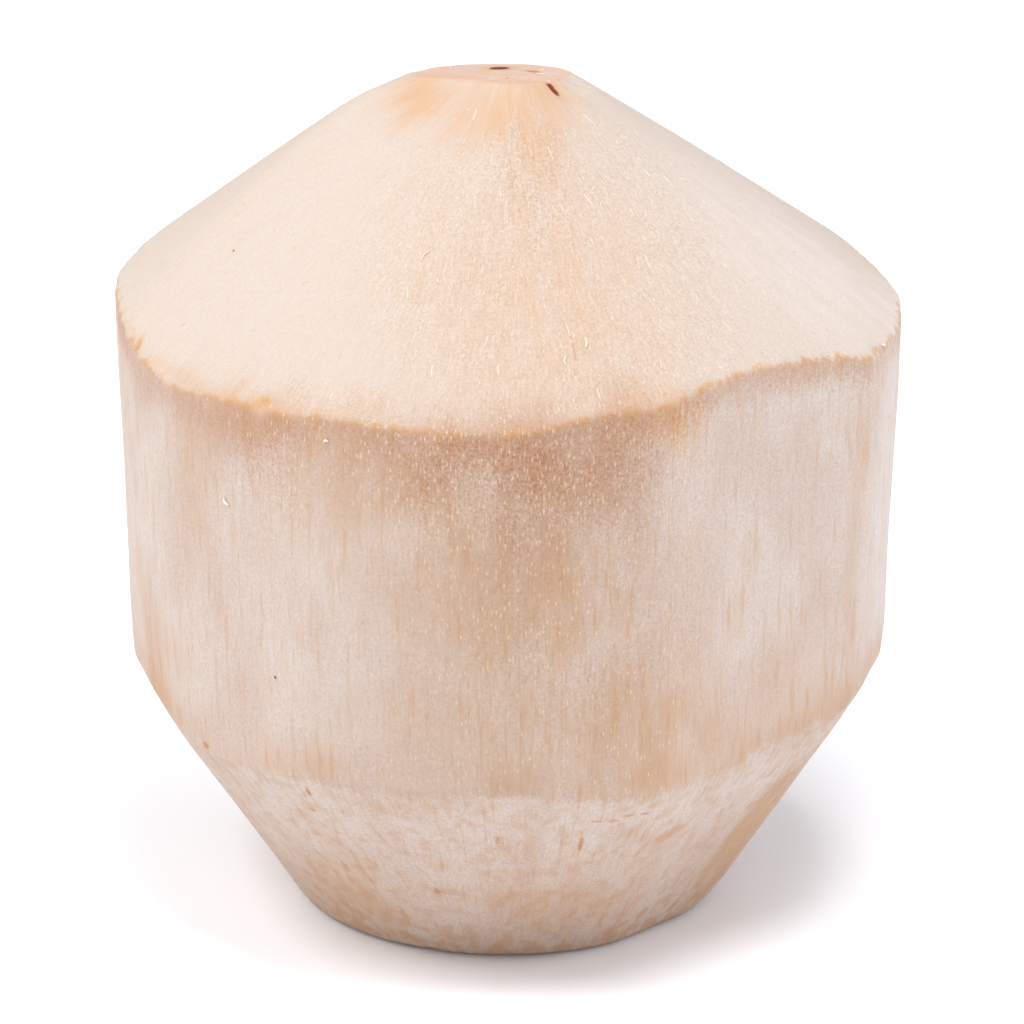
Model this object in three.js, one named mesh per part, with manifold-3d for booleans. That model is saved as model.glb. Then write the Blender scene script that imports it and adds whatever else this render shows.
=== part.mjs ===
// A young coconut trimmed for drinking: the green skin is pared away with a knife, which leaves a
// coned crown with a small flat on its tip, an upright wall, and a foot that tapers to a flat base.
// The whole fruit is one solid. Millimetres, +Z up, the base on Z = 0, the husk's axis on Z.
// An azimuth is in degrees round the axis: 0 faces -Y, the front, and 90 faces +X.
import * as THREE from "three";
import { mergeVertices } from "three/addons/utils/BufferGeometryUtils.js";
import Module from "manifold-3d";

// Wall: a barrel that is widest a little under the rim and bows in below
const WALL_RADIUS = 58.2;
const WIDEST_HEIGHT = 85;
const WALL_BOW_RADIUS = 500;

// Crown: a cone whose tip leans to the left
const CROWN_SLOPE = 36.7;
const CROWN_APEX_HEIGHT = 137.4;
const RIM_LEVEL = 92;
const CROWN_OFFSET_AT_RIM = [-1.5, 0.8];
const TIP_LEAN = 3.1;

// Foot: a cone that opens upwards from the flat base
const BASE_RADIUS = 31.2;
const FOOT_SLOPE = 35.9;
const FOOT_OFFSET = [-0.4, 2.3];

const AXIS = 0;
const GROUND = 0;

// The straight knife strokes. Each leaves a flat that faces its azimuth, with its outward normal
// raised by the pitch, and passes through the point at that radius and height.
const KNIFE_STROKES = [
  // Across the tip, which leans back, and the shoulder left of it
  { azimuth: 180, pitch: 78.7, radius: AXIS, height: 127.6 },
  { azimuth: -100, pitch: 69, radius: AXIS, height: 131.9 },
  // Down the crown
  { azimuth: -50, pitch: 54.8, radius: AXIS, height: 132.2 },
  { azimuth: 104, pitch: 53.9, radius: AXIS, height: 134.4 },
  { azimuth: 158, pitch: 54.4, radius: AXIS, height: 136.3 },
  { azimuth: -138, pitch: 54.2, radius: AXIS, height: 137.6 },
  // Down the wall
  { azimuth: 20, pitch: -1.2, radius: 55.3, height: RIM_LEVEL },
  { azimuth: 41, pitch: -1.2, radius: 52.9, height: RIM_LEVEL },
  { azimuth: 88, pitch: -2.1, radius: 58, height: RIM_LEVEL },
  { azimuth: 127, pitch: -1.6, radius: 56, height: RIM_LEVEL },
  { azimuth: 166, pitch: -2.4, radius: 56.8, height: RIM_LEVEL },
  { azimuth: -150, pitch: -1.4, radius: 55.2, height: RIM_LEVEL },
  { azimuth: -112, pitch: -2, radius: 57, height: RIM_LEVEL },
  { azimuth: -85, pitch: -1.5, radius: 57.6, height: RIM_LEVEL },
  { azimuth: -44, pitch: -1.5, radius: 56.8, height: RIM_LEVEL },
  // In towards the base
  { azimuth: 45, pitch: -32.9, radius: 28.4, height: GROUND },
  { azimuth: 77, pitch: -31.9, radius: 30.6, height: GROUND },
  { azimuth: 126, pitch: -33, radius: 30.6, height: GROUND },
  { azimuth: 172, pitch: -33.5, radius: 31.6, height: GROUND },
  { azimuth: -130, pitch: -32.4, radius: 31, height: GROUND },
  { azimuth: -76, pitch: -32.1, radius: 31, height: GROUND },
];

const TURNED_SIDES = 96;
const WALL_STEPS = 24;
const CLEAR = 30;

const wasm = await Module();
wasm.setup();

const radians = THREE.MathUtils.degToRad;

// A closed geometry as a solid that can be cut.
function solidOf(geometry) {
  const bare = geometry.clone();
  bare.deleteAttribute("normal");
  bare.deleteAttribute("uv");
  const merged = mergeVertices(bare, 1e-4);
  return new wasm.Manifold(
    new wasm.Mesh({
      numProp: 3,
      vertProperties: merged.attributes.position.array,
      triVerts: new Uint32Array(merged.index.array),
    }),
  );
}

// A solid as a geometry again.
function geometryOf(solid) {
  const mesh = solid.getMesh();
  const geometry = new THREE.BufferGeometry();
  geometry.setAttribute("position", new THREE.BufferAttribute(mesh.vertProperties, 3));
  geometry.setIndex(new THREE.BufferAttribute(mesh.triVerts, 1));
  geometry.computeVertexNormals();
  return geometry;
}

// A form turned round the Z axis. The profile's points are [radius, height] from the lowest to the
// highest, and flat ends close it on the axis.
function turned(profile) {
  const lowest = profile[0][1];
  const highest = profile[profile.length - 1][1];
  const outline = [[0, lowest], ...profile.filter(([radius]) => radius > 0), [0, highest]];
  const points = outline.map(([radius, height]) => new THREE.Vector2(radius, height));
  return new THREE.LatheGeometry(points, TURNED_SIDES).rotateX(Math.PI / 2);
}

// Evenly spaced values from one number to another, both included.
function steps(from, to, count) {
  return Array.from({ length: count + 1 }, (_, i) => from + ((to - from) * i) / count);
}

function wallBlank() {
  const bow = (height) => (height - WIDEST_HEIGHT) ** 2 / (2 * WALL_BOW_RADIUS);
  const heights = steps(-CLEAR, CROWN_APEX_HEIGHT + CLEAR, WALL_STEPS);
  return solidOf(turned(heights.map((height) => [WALL_RADIUS - bow(height), height])));
}

// The crown's cone is turned upright and then sheared, so that its tip leans.
function crownBlank() {
  const rise = Math.tan(radians(CROWN_SLOPE));
  const widest = 2 * WALL_RADIUS;
  const edge = CROWN_APEX_HEIGHT - widest * rise;
  const geometry = turned([[widest, -CLEAR], [widest, edge], [0, CROWN_APEX_HEIGHT]]);
  const shear = TIP_LEAN / (CROWN_APEX_HEIGHT - RIM_LEVEL);
  geometry.translate(0, 0, -RIM_LEVEL);
  geometry.applyMatrix4(new THREE.Matrix4().makeShear(0, 0, 0, 0, -shear, 0));
  geometry.translate(...CROWN_OFFSET_AT_RIM, RIM_LEVEL);
  return solidOf(geometry);
}

function footBlank() {
  const height = CROWN_APEX_HEIGHT + CLEAR;
  const topRadius = BASE_RADIUS + height * Math.tan(radians(FOOT_SLOPE));
  return solidOf(turned([[BASE_RADIUS, GROUND], [topRadius, height]]).translate(...FOOT_OFFSET, 0));
}

// The block of husk that one straight stroke takes off.
function paring({ azimuth, pitch, radius, height }) {
  const size = 4 * WALL_RADIUS;
  const geometry = new THREE.BoxGeometry(size, size, size);
  geometry.translate(0, -size / 2, 0);
  geometry.rotateX(radians(-pitch));
  geometry.translate(0, -radius, height);
  geometry.rotateZ(radians(azimuth));
  return solidOf(geometry);
}

function huskGeometry() {
  const blank = wallBlank().intersect(crownBlank()).intersect(footBlank());
  const cut = KNIFE_STROKES.reduce((husk, stroke) => husk.subtract(paring(stroke)), blank);
  return geometryOf(cut);
}

const huskFlesh = new THREE.MeshStandardMaterial({ color: 0xead2bd, roughness: 0.78, metalness: 0 });

const husk = new THREE.Mesh(huskGeometry(), huskFlesh);
husk.name = "husk";

const coconut = new THREE.Group();
coconut.add(husk);

export default coconut;
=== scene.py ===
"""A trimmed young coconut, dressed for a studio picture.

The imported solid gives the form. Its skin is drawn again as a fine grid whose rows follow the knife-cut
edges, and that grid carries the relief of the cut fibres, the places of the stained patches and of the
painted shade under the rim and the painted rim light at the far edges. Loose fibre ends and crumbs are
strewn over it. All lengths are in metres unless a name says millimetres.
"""

import logging
import math
from dataclasses import dataclass, field
from enum import Enum
from typing import Any, Callable, Iterable, Sequence, Union

import bpy
import numpy as np
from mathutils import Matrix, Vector, noise
from mathutils.bvhtree import BVHTree


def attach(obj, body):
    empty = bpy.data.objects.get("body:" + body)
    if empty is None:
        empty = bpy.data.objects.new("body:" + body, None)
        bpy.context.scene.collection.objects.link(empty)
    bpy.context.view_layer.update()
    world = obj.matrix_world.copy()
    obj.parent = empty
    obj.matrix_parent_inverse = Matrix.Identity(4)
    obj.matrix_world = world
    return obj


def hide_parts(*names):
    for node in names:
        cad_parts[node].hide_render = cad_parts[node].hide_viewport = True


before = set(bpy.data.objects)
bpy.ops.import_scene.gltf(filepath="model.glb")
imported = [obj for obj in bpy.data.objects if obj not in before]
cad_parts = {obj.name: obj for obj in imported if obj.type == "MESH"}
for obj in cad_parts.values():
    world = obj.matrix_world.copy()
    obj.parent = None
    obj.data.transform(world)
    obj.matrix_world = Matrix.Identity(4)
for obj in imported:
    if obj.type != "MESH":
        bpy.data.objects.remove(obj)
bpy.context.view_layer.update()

log = logging.getLogger("coconut")

MM = 0.001
TINY = 1e-12
Number = Union[int, float]
Colour = tuple[float, float, float]


def from_screen(red: Number, green: Number, blue: Number) -> Colour:
    """A colour read from a screen, 0 to 255 a channel, as the linear values that shaders take."""
    def linear(channel: Number) -> float:
        """One channel made linear."""
        share = channel / 255
        return share / 12.92 if share <= 0.04045 else ((share + 0.055) / 1.055) ** 2.4

    return linear(red), linear(green), linear(blue)


def toward(azimuth: float, rise: float) -> Vector:
    """The direction at an azimuth, 0 facing -Y and a quarter turn facing +X, and a rise, in radians."""
    level = math.cos(rise)
    return Vector((math.sin(azimuth) * level, -math.cos(azimuth) * level, math.sin(rise)))


def unit(vectors: np.ndarray) -> np.ndarray:
    """The vectors in the last axis, made 1 long."""
    return vectors / np.maximum(np.linalg.norm(vectors, axis=-1, keepdims=True), TINY)


def show(name: str, data: Any) -> bpy.types.Object:
    """Puts a new object in the scene, at the origin."""
    shown = bpy.data.objects.new(name, data)
    bpy.context.scene.collection.objects.link(shown)
    return shown


def smooth_mesh(name: str, vertices: Sequence, faces: Sequence) -> bpy.types.Mesh:
    """Makes a smooth-shaded mesh."""
    mesh = bpy.data.meshes.new(name)
    mesh.from_pydata(vertices, [], faces)
    mesh.polygons.foreach_set("use_smooth", np.ones(len(mesh.polygons), bool))
    return mesh


def ring_quads(first: int, rings: int, sides: int) -> list[tuple[int, ...]]:
    """The faces between rings of points that follow each other in a list of vertices.

    Args:
        first: The first ring's first point.
        rings: The number of rings.
        sides: The number of points in each.

    Returns:
        The faces, as places in the list of vertices.
    """
    faces = []
    for here in range(first, first + (rings - 1) * sides, sides):
        there = here + sides
        for side in range(sides):
            after = (side + 1) % sides
            faces.append((here + side, here + after, there + after, there + side))
    return faces


# Node expressions


def operator(operation: str, swapped: bool = False) -> Callable[["Wire", "Feed"], "Wire"]:
    """The method for a Python operator between a wire and another value.

    Args:
        operation: The operation of the node that it adds.
        swapped: True where the wire stands on the operator's right.

    Returns:
        The method.
    """
    def method(wire: "Wire", other: "Feed") -> "Wire":
        """Adds the node and returns its output."""
        first, second = (other, wire) if swapped else (wire, other)
        return wire.combine(operation, first, second)

    return method


class Wire:
    """A node's output that Python expressions can use, adding the nodes that they need."""

    __add__ = operator("ADD")
    __radd__ = operator("ADD", swapped=True)
    __sub__ = operator("SUBTRACT")
    __rsub__ = operator("SUBTRACT", swapped=True)
    __mul__ = operator("MULTIPLY")
    __rmul__ = operator("MULTIPLY", swapped=True)

    def __init__(self, sheet: "NodeSheet", socket: bpy.types.NodeSocket) -> None:
        """Keeps the sheet that the node is on and the socket itself."""
        self.sheet = sheet
        self.socket = socket

    def combine(self, operation: str, first: "Feed", second: "Feed") -> "Wire":
        """Adds a Math node, or a Vector Math node where either value is a vector or a colour."""
        types = [feed.socket.type for feed in (first, second) if isinstance(feed, Wire)]
        kind = "ShaderNodeVectorMath" if "VECTOR" in types or "RGBA" in types else "ShaderNodeMath"
        return self.sheet.add(kind, {"operation": operation}, {0: first, 1: second})

    def __neg__(self) -> "Wire":
        """The opposite."""
        return self * -1

    def ramp(self, low: Number, high: Number, to_low: Number = 0, to_high: Number = 1) -> "Wire":
        """Maps low..high smoothly on to to_low..to_high, and holds the ends.

        Args:
            low: The value that becomes to_low.
            high: The value that becomes to_high, which may be under low.
            to_low: The result at low.
            to_high: The result at high.

        Returns:
            The mapped value.
        """
        settings = {"interpolation_type": "SMOOTHSTEP", "clamp": True}
        inputs = {0: self, 1: low, 2: high, 3: to_low, 4: to_high}
        return self.sheet.add("ShaderNodeMapRange", settings, inputs)

    def limit(self) -> "Wire":
        """The value held between 0 and 1."""
        return self.sheet.add("ShaderNodeClamp", {}, {0: self, 1: 0, 2: 1})

    def split(self) -> tuple["Wire", "Wire", "Wire"]:
        """The three parts of a vector."""
        node = self.sheet.place("ShaderNodeSeparateXYZ", {}, {0: self})
        return tuple(Wire(self.sheet, socket) for socket in node.outputs)


Feed = Union[Wire, Number, Sequence[float]]


class NodeSheet:
    """A node tree that is drawn up in Python."""

    def __init__(self, tree: bpy.types.NodeTree) -> None:
        """Keeps the tree."""
        self.tree = tree

    def place(self, kind: str, settings: dict[str, Any], inputs: dict[Any, Any]) -> bpy.types.Node:
        """Adds a node.

        Args:
            kind: The node's Blender type.
            settings: Its properties, set before its sockets.
            inputs: What each input socket gets, by name or number: a value or a wire.

        Returns:
            The node.
        """
        node = self.tree.nodes.new(kind)
        for name, value in settings.items():
            setattr(node, name, value)
        for key, value in inputs.items():
            self.feed(node.inputs[key], value)
        return node

    def feed(self, socket: bpy.types.NodeSocket, value: Any) -> None:
        """Gives an input socket a value or a wire. One number fills all three parts of a vector."""
        if isinstance(value, Wire):
            self.tree.links.new(value.socket, socket)
        elif socket.type == "VECTOR" and isinstance(value, (int, float)):
            socket.default_value = (value, value, value)
        elif socket.type == "RGBA" and len(value) == 3:
            socket.default_value = (*value, 1)
        else:
            socket.default_value = value

    def add(self, kind: str, settings: dict[str, Any], inputs: dict[Any, Any], output: Any = 0) -> Wire:
        """Adds a node, as place does, and returns the wire from one of its outputs."""
        return Wire(self, self.place(kind, settings, inputs).outputs[output])

    def mix(self, share: Feed, start: Feed, end: Feed) -> Wire:
        """Blends two colours.

        Args:
            share: How much of the end colour shows, from 0 to 1.
            start: The colour at 0.
            end: The colour at 1.

        Returns:
            The blended colour.
        """
        return self.add("ShaderNodeMix", {"data_type": "RGBA"}, {0: share, 6: start, 7: end}, 2)

    def attribute(self, name: str, output: str = "Vector") -> Wire:
        """An attribute of the mesh, a vector unless the output is Fac."""
        return self.add("ShaderNodeAttribute", {"attribute_name": name}, {}, output)

    def bump(self, height: Wire, strength: Number, depth_mm: Number) -> Wire:
        """The normal over a height from 0 to 1 that is so deep."""
        inputs = {"Strength": strength, "Distance": depth_mm * MM, "Height": height}
        return self.add("ShaderNodeBump", {}, inputs)

    def position(self) -> Wire:
        """The place on the object, in metres."""
        return self.add("ShaderNodeTexCoord", {}, {}, "Object")

    def cloud(self, place: Wire, size_mm: Sequence[float], detail: Number = 2, rough: Number = 0.55) -> Wire:
        """Noise from 0 to 1 with cells of a given size.

        Args:
            place: The coordinates, in metres.
            size_mm: The size of a cell along each axis. Two sizes give flat noise, which is quicker.
            detail: The number of finer layers.
            rough: How strong the finer layers are.

        Returns:
            The noise.
        """
        inputs = {"Vector": self._scaled(place, size_mm), "Scale": 1, "Detail": detail, "Roughness": rough}
        return self.add("ShaderNodeTexNoise", {"noise_dimensions": f"{len(size_mm)}D"}, inputs)

    def cells(self, place: Wire, size_mm: Sequence[float]) -> tuple[Wire, Wire]:
        """Scattered cells of a given size.

        Args:
            place: The flat coordinates, in metres.
            size_mm: The size of a cell along each of the two axes.

        Returns:
            The distance from the cell's middle, and a random number for each cell.
        """
        settings = {"feature": "F1", "voronoi_dimensions": "2D"}
        inputs = {"Vector": self._scaled(place, size_mm), "Scale": 1}
        node = self.place("ShaderNodeTexVoronoi", settings, inputs)
        random, _, _ = Wire(self, node.outputs["Color"]).split()
        return Wire(self, node.outputs["Distance"]), random

    def _scaled(self, place: Wire, size_mm: Sequence[float]) -> Wire:
        """Coordinates in metres, counted in cells."""
        counts = [1 / (part * MM) for part in size_mm]
        return place * tuple(counts + [0] * (3 - len(counts)))


def new_material(name: str) -> tuple[bpy.types.Material, NodeSheet]:
    """An empty node material and the sheet for its nodes."""
    material = bpy.data.materials.new(name)
    material.use_nodes = True
    material.node_tree.nodes.clear()
    return material, NodeSheet(material.node_tree)


def close_material(sheet: NodeSheet, inputs: dict[str, Any]) -> None:
    """Ends a material with a Principled shader, which takes the inputs, and the output."""
    shader = sheet.add("ShaderNodeBsdfPrincipled", {}, inputs)
    sheet.place("ShaderNodeOutputMaterial", {}, {"Surface": shader})


# The marks: stained patches, painted shade under the rim and painted rim light at the edges


class Layer(Enum):
    """What a mark on the husk is made of. The value is the number of its layer."""

    PEACH = 0
    OCHRE = 1
    # Whitish patches, and painted rim light at the far left and right edges
    PALE = 2
    # Brown stain under the rim, deepened with painted shade where the light falls off below it
    UMBER_AND_SHADE = 3
    COARSE = 4
    ENDS = 5
    DENT = 6


@dataclass(frozen=True)
class Place:
    """A place on the husk, with a size.

    Attributes:
        name: Where it is, or what it is.
        azimuth: The direction of its middle in degrees, 0 in front and 90 at the right.
        height_mm: The height of its middle.
        half_width_mm: Half its size round the husk.
        half_height_mm: Half its size along the fibres.
    """

    name: str
    azimuth: float
    height_mm: float
    half_width_mm: float
    half_height_mm: float


@dataclass(frozen=True)
class Mark(Place):
    """A soft-edged mark on the husk.

    Attributes:
        strength: How much of it shows, from 0 to 1, or the depth of a dent in mm.
        lean: How far it leans, in mm round the husk for each mm down the fibres.
        hard: How hard its edge is: 2 fades from the middle, 8 is a flat patch.
    """

    strength: float
    lean: float = 0
    hard: float = 2


@dataclass(frozen=True)
class Spot(Place):
    """A small dark spot with a clear edge.

    Attributes:
        darkness: 0.3 for a brown fibre to 1 for an open slit, whose near black is painted shade over brown.
        depth_mm: How deep it is cut in.
    """

    darkness: float
    depth_mm: float = 0


MARKS = {
    Layer.PEACH: (
        Mark("orange streaks left of the tip", -88, 125.5, 8, 6, 0.95),
        Mark("orange round the tip", -35, 127, 9, 4, 0.7),
        Mark("warm round the tip", 2, 127, 12, 9, 1),
        Mark("warm streak under the tip", 14, 123, 4.5, 9, 0.95),
        Mark("warm streak lower down", 4, 115, 2.6, 10, 0.6),
        Mark("warm middle of the crown", 8, 106, 22, 26, 0.5),
        Mark("lower on the wall's left", -20, 81, 16, 9, 0.5),
        Mark("under the rim, left", -40, 90, 10, 4, 0.85),
        Mark("under the rim, left of middle", -25, 89, 12, 8, 0.6),
        Mark("back of the wall", -165, 58, 14, 20, 0.6),
        Mark("side of the wall", 108, 54, 8, 14, 0.6),
        Mark("back of the crown", 165, 108, 16, 22, 0.4),
        Mark("beside the right ridge", 63.5, 58, 1.4, 24, 0.4),
        Mark("beside the left ridge", -52, 80, 4, 12, 0.5),
        Mark("middle of the wall", 2, 66, 20, 16, 0.7),
        Mark("low middle of the wall", 2, 50, 24, 12, 0.5),
        Mark("low right of the middle", 20, 46, 14, 11, 0.8),
        Mark("low right wall", 28, 43, 12, 8, 0.65),
        Mark("far low right wall", 50, 47, 9, 6, 0.4),
        Mark("at the low left corner", -66, 46, 5, 9, 0.6),
        Mark("streak on the foot's left", -33, 18, 2.5, 12, 0.45, lean=0.15),
        Mark("streak on the foot's middle", 4, 25, 1.2, 6, 0.5),
        Mark("over the base, left", -42, 9, 9, 8, 0.6),
        Mark("over the base, middle", 12, 12, 14, 6, 0.5),
        Mark("flat on the right of the foot", 61, 14, 5.5, 16, 0.85, hard=4),
        Mark("band across the foot", 31, 23.2, 8.5, 0.9, 1, hard=4),
    ),
    Layer.OCHRE: (
        Mark("left of the tip", -95, 125, 5, 4, 0.25),
        Mark("orange beside the split", 34, 127.5, 2, 4, 0.35),
        Mark("orange streak on the crown's ridge", -19, 108, 0.6, 5, 0.25),
        Mark("orange at the rim's left", -60, 92.6, 16, 1.2, 0.25),
        Mark("patch under the rim", 24, 92, 6, 4.5, 0.65),
        Mark("beside the right ridge", 64.5, 76, 0.7, 5, 0.4),
        Mark("in the rim's left tear", -69, 93.8, 0.9, 1.6, 0.9),
        Mark("in the rim's front tear", -38.2, 93.2, 1.3, 1.2, 0.9),
    ),
    Layer.PALE: (
        Mark("left of the crown", -58, 107, 20, 26, 0.2),
        # Paler along the crown's right edge: partly a whitish patch, partly painted rim light
        Mark("right of the crown", 80, 102, 18, 22, 1),
        Mark("left wall", -28, 72, 12, 11, 0.35),
        Mark("low left wall", -27, 57, 12, 10, 0.5),
        Mark("far left wall", -68, 63, 10, 22, 0.5),
        Mark("right wall", 46, 69, 14, 20, 0.2),
        # Paler on the far right facet and along the far left edge: partly whitish patches, partly painted rim
        # light
        Mark("far right facet", 85, 68, 18, 32, 1.5, hard=4),
        Mark("edge at the far left", -98, 68, 16, 28, 0.9),
        Mark("back", 150, 62, 26, 20, 0.6),
        Mark("back, left", -140, 74, 14, 16, 0.6),
        Mark("left foot", -42, 24, 13, 11, 0.7),
        Mark("right foot", 25, 32, 12, 4, 0.8),
        Mark("far right of the foot", 52, 28, 8, 9, 0.6),
        Mark("middle of the foot", 0, 29, 14, 7, 0.3),
    ),
    # Brown stain under the rim, with painted shade where the light falls off below the rim
    Layer.UMBER_AND_SHADE: (
        Mark("under the rim, middle", 4, 87, 12, 9, 0.95),
        Mark("under the rim, left", -9, 88, 12, 7, 0.8),
        Mark("under the rim, right", 14, 87, 7, 9, 0.8),
        Mark("lower down", 3, 77, 10, 10, 0.55),
        Mark("under the rim, back", 172, 86, 18, 7, 0.6),
        Mark("under the rim, back right", 118, 88, 9, 5, 0.4),
        Mark("under the rim, back left", -118, 87, 12, 6, 0.4),
        Mark("under the rim, far left", -42, 88, 15, 5, 0.55),
        Mark("under the rim, edge", -66, 89, 8, 3, 0.3),
    ),
    Layer.COARSE: (
        Mark("back of the crown", 170, 106, 16, 24, 0.5),
        Mark("under the rim, back", 170, 86, 26, 12, 0.6),
        Mark("middle of the crown", 12, 108, 30, 30, 0.8, hard=7),
        Mark("right of the crown", 48, 106, 16, 30, 0.3),
        Mark("coarsest under the tip", 8, 118, 8, 14, 1.25, hard=4),
        Mark("along the rim", -15, 95, 30, 5, 0.65, hard=3),
        Mark("under the rim", 2, 86, 22, 12, 1, hard=3),
        Mark("left under the rim", -38, 86, 10, 9, 0.6),
        Mark("wall", 6, 62, 18, 24, 0.45),
        Mark("foot", 2, 20, 34, 22, 0.15),
    ),
    Layer.ENDS: (
        Mark("at the back", 168, 76, 26, 20, 0.6),
        Mark("under the rim", 0, 84, 24, 13, 1, hard=3),
        Mark("left under the rim", -30, 86, 14, 9, 0.6),
        Mark("on the wall", 8, 64, 28, 24, 0.5),
        Mark("low on the wall", 0, 42, 30, 8, 0.5),
        Mark("on the crown", 14, 106, 20, 26, 0.3, hard=3),
        Mark("torn fibres on the crown", 12, 99, 1, 5, 3),
        Mark("torn fibres on the ridge", -18.5, 109, 1, 5, 1.5),
        Mark("crumbs under the rim", -11, 88, 2, 2, 3),
    ),
    Layer.DENT: (
        Mark("steep cut right of the tip", 105, 126.6, 8, 2.6, 1.7, hard=4),
        Mark("tear in the rim's left", -69, 93.6, 1, 1.2, 0.9),
        Mark("tear left of the rim's front", -38.5, 93, 1.6, 1.2, 1),
        Mark("tear right of the rim's front", 33, 96, 1, 0.9, 0.6),
        Mark("tear at the far right of the rim", 68, 93, 1.2, 1, 0.7),
    ),
}

SPOTS = (
    # The open slits are barely cut in; their near-black colour is painted shade.
    Spot("slit in the tip", -174, 124.9, 1.5, 1.8, 1, 0.1),
    Spot("small slit in the tip", 156, 125.8, 1.2, 1, 0.5, 0.1),
    Spot("split below the tip", 48, 127.8, 0.7, 1.5, 0.85, 0.5),
    Spot("crack in the crown", 11.6, 101.5, 0.12, 1.8, 0.2),
    Spot("dash on the foot", 13, 25.6, 0.3, 1.9, 0.4),
    Spot("first of a row of dashes", 14.6, 29.8, 0.8, 0.25, 0.3),
    Spot("second of a row of dashes", 17.2, 30.2, 0.9, 0.22, 0.25),
    Spot("third of a row of dashes", 20, 30.6, 0.9, 0.25, 0.25),
    Spot("fourth of a row of dashes", 22.8, 31, 0.8, 0.22, 0.3),
    Spot("knot at the left corner", -52.5, 36, 0.6, 0.5, 0.35, 0.3),
    Spot("knot on the left of the foot", -32.5, 33, 0.3, 0.9, 0.45),
    Spot("ring on the left of the foot", -34, 28.5, 0.7, 0.4, 0.25),
    Spot("knot over the base", -15, 14.5, 0.55, 0.8, 0.3),
    Spot("dash in front", -1.5, 26.5, 0.3, 1, 0.3),
    Spot("speck on the crown", -73, 105, 0.16, 0.14, 0.9),
    Spot("speck on the wall", -36.7, 51, 0.18, 0.2, 0.9),
)


@dataclass(frozen=True)
class Viewpoint:
    """Where the picture is taken from.

    Attributes:
        distance: How far the camera is from what it looks at.
        elevation: How far it looks down, in degrees.
        target: The point at the middle of the picture.
        focal_pixels: The focal length, in pixels of the picture.
        picture_pixels: The picture's width and height.
        sensor_mm: The sensor's width.
    """

    distance: float = 1.15
    elevation: float = 20.86
    target: tuple[float, float, float] = (0.6 * MM, 1 * MM, 59.4 * MM)
    focal_pixels: float = 7701
    picture_pixels: int = 1024
    sensor_mm: float = 36

    def eye(self) -> Vector:
        """The camera's place."""
        pitch = math.radians(self.elevation)
        forward = Vector((0, math.cos(pitch), -math.sin(pitch)))
        return Vector(self.target) - forward * self.distance

    def build(self) -> None:
        """Makes the camera and hands it to the scene."""
        data = bpy.data.cameras.new("camera")
        data.sensor_width = self.sensor_mm
        data.lens = self.focal_pixels / self.picture_pixels * self.sensor_mm
        data.clip_end = 10
        camera = show("camera", data)
        camera.location = self.eye()
        camera.rotation_euler = (math.radians(90 - self.elevation), 0, 0)
        bpy.context.scene.camera = camera


# The husk's skin


@dataclass
class CadForm:
    """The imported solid, felt out by rays.

    Attributes:
        node: The name of the CAD node.
        middle_height: The height of the point that the rays start from.
    """

    node: str = "husk"
    middle_height: float = 62 * MM
    tree: BVHTree = field(init=False)

    def __post_init__(self) -> None:
        """Reads the solid's triangles."""
        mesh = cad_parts[self.node].data
        corners = [vertex.co.copy() for vertex in mesh.vertices]
        faces = [tuple(face.vertices) for face in mesh.polygons]
        self.tree = BVHTree.FromPolygons(corners, faces)

    def profiles(self, azimuths: np.ndarray, pitches: np.ndarray) -> np.ndarray:
        """The solid's outline in each upright half-plane.

        Args:
            azimuths: The half-planes' azimuths, 0 facing -Y and a quarter turn facing +X.
            pitches: The pitches of the rays, from the highest to the lowest.

        Returns:
            An array of [azimuth, pitch, (radius, height)].
        """
        middle = Vector((0, 0, self.middle_height))
        found = np.empty((len(azimuths), len(pitches), 2))
        for column, azimuth in enumerate(azimuths):
            for row, pitch in enumerate(pitches):
                reach = (self.tree.ray_cast(middle, toward(azimuth, pitch))[0] - middle).length
                found[column, row] = reach * math.cos(pitch), self.middle_height + reach * math.sin(pitch)
        return found


class Edge(Enum):
    """The edges that run round the husk, with the slope in degrees of the line that rests on each."""

    TIP = 74
    RIM = 27
    LOW = -18
    BASE = -61


@dataclass(frozen=True)
class Wear:
    """The bites that are missing from an edge.

    Attributes:
        edge: The edge.
        depth_mm: How deep the deepest are.
        reach_mm: How far from the edge they fade.
        width_mm: How wide they are.
        spared: How much of the edge is left whole, from 0 to 1.
        seed: Moves them round the husk.
    """

    edge: Edge
    depth_mm: float
    reach_mm: float
    width_mm: float
    spared: float
    seed: float


WEAR = (
    Wear(Edge.RIM, 0.9, 1.2, 2.4, 0.15, 20),
    Wear(Edge.LOW, 0.8, 2.5, 9, 0, 30),
    Wear(Edge.BASE, 0.7, 3, 3, 0, 40),
)


@dataclass(frozen=True)
class Stretch:
    """A part of the skin between two edges.

    Attributes:
        rows: The number of grid rows on it.
        crowding: How much closer the rows lie at its ends, from 0 to 1.
    """

    rows: int
    crowding: float


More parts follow.
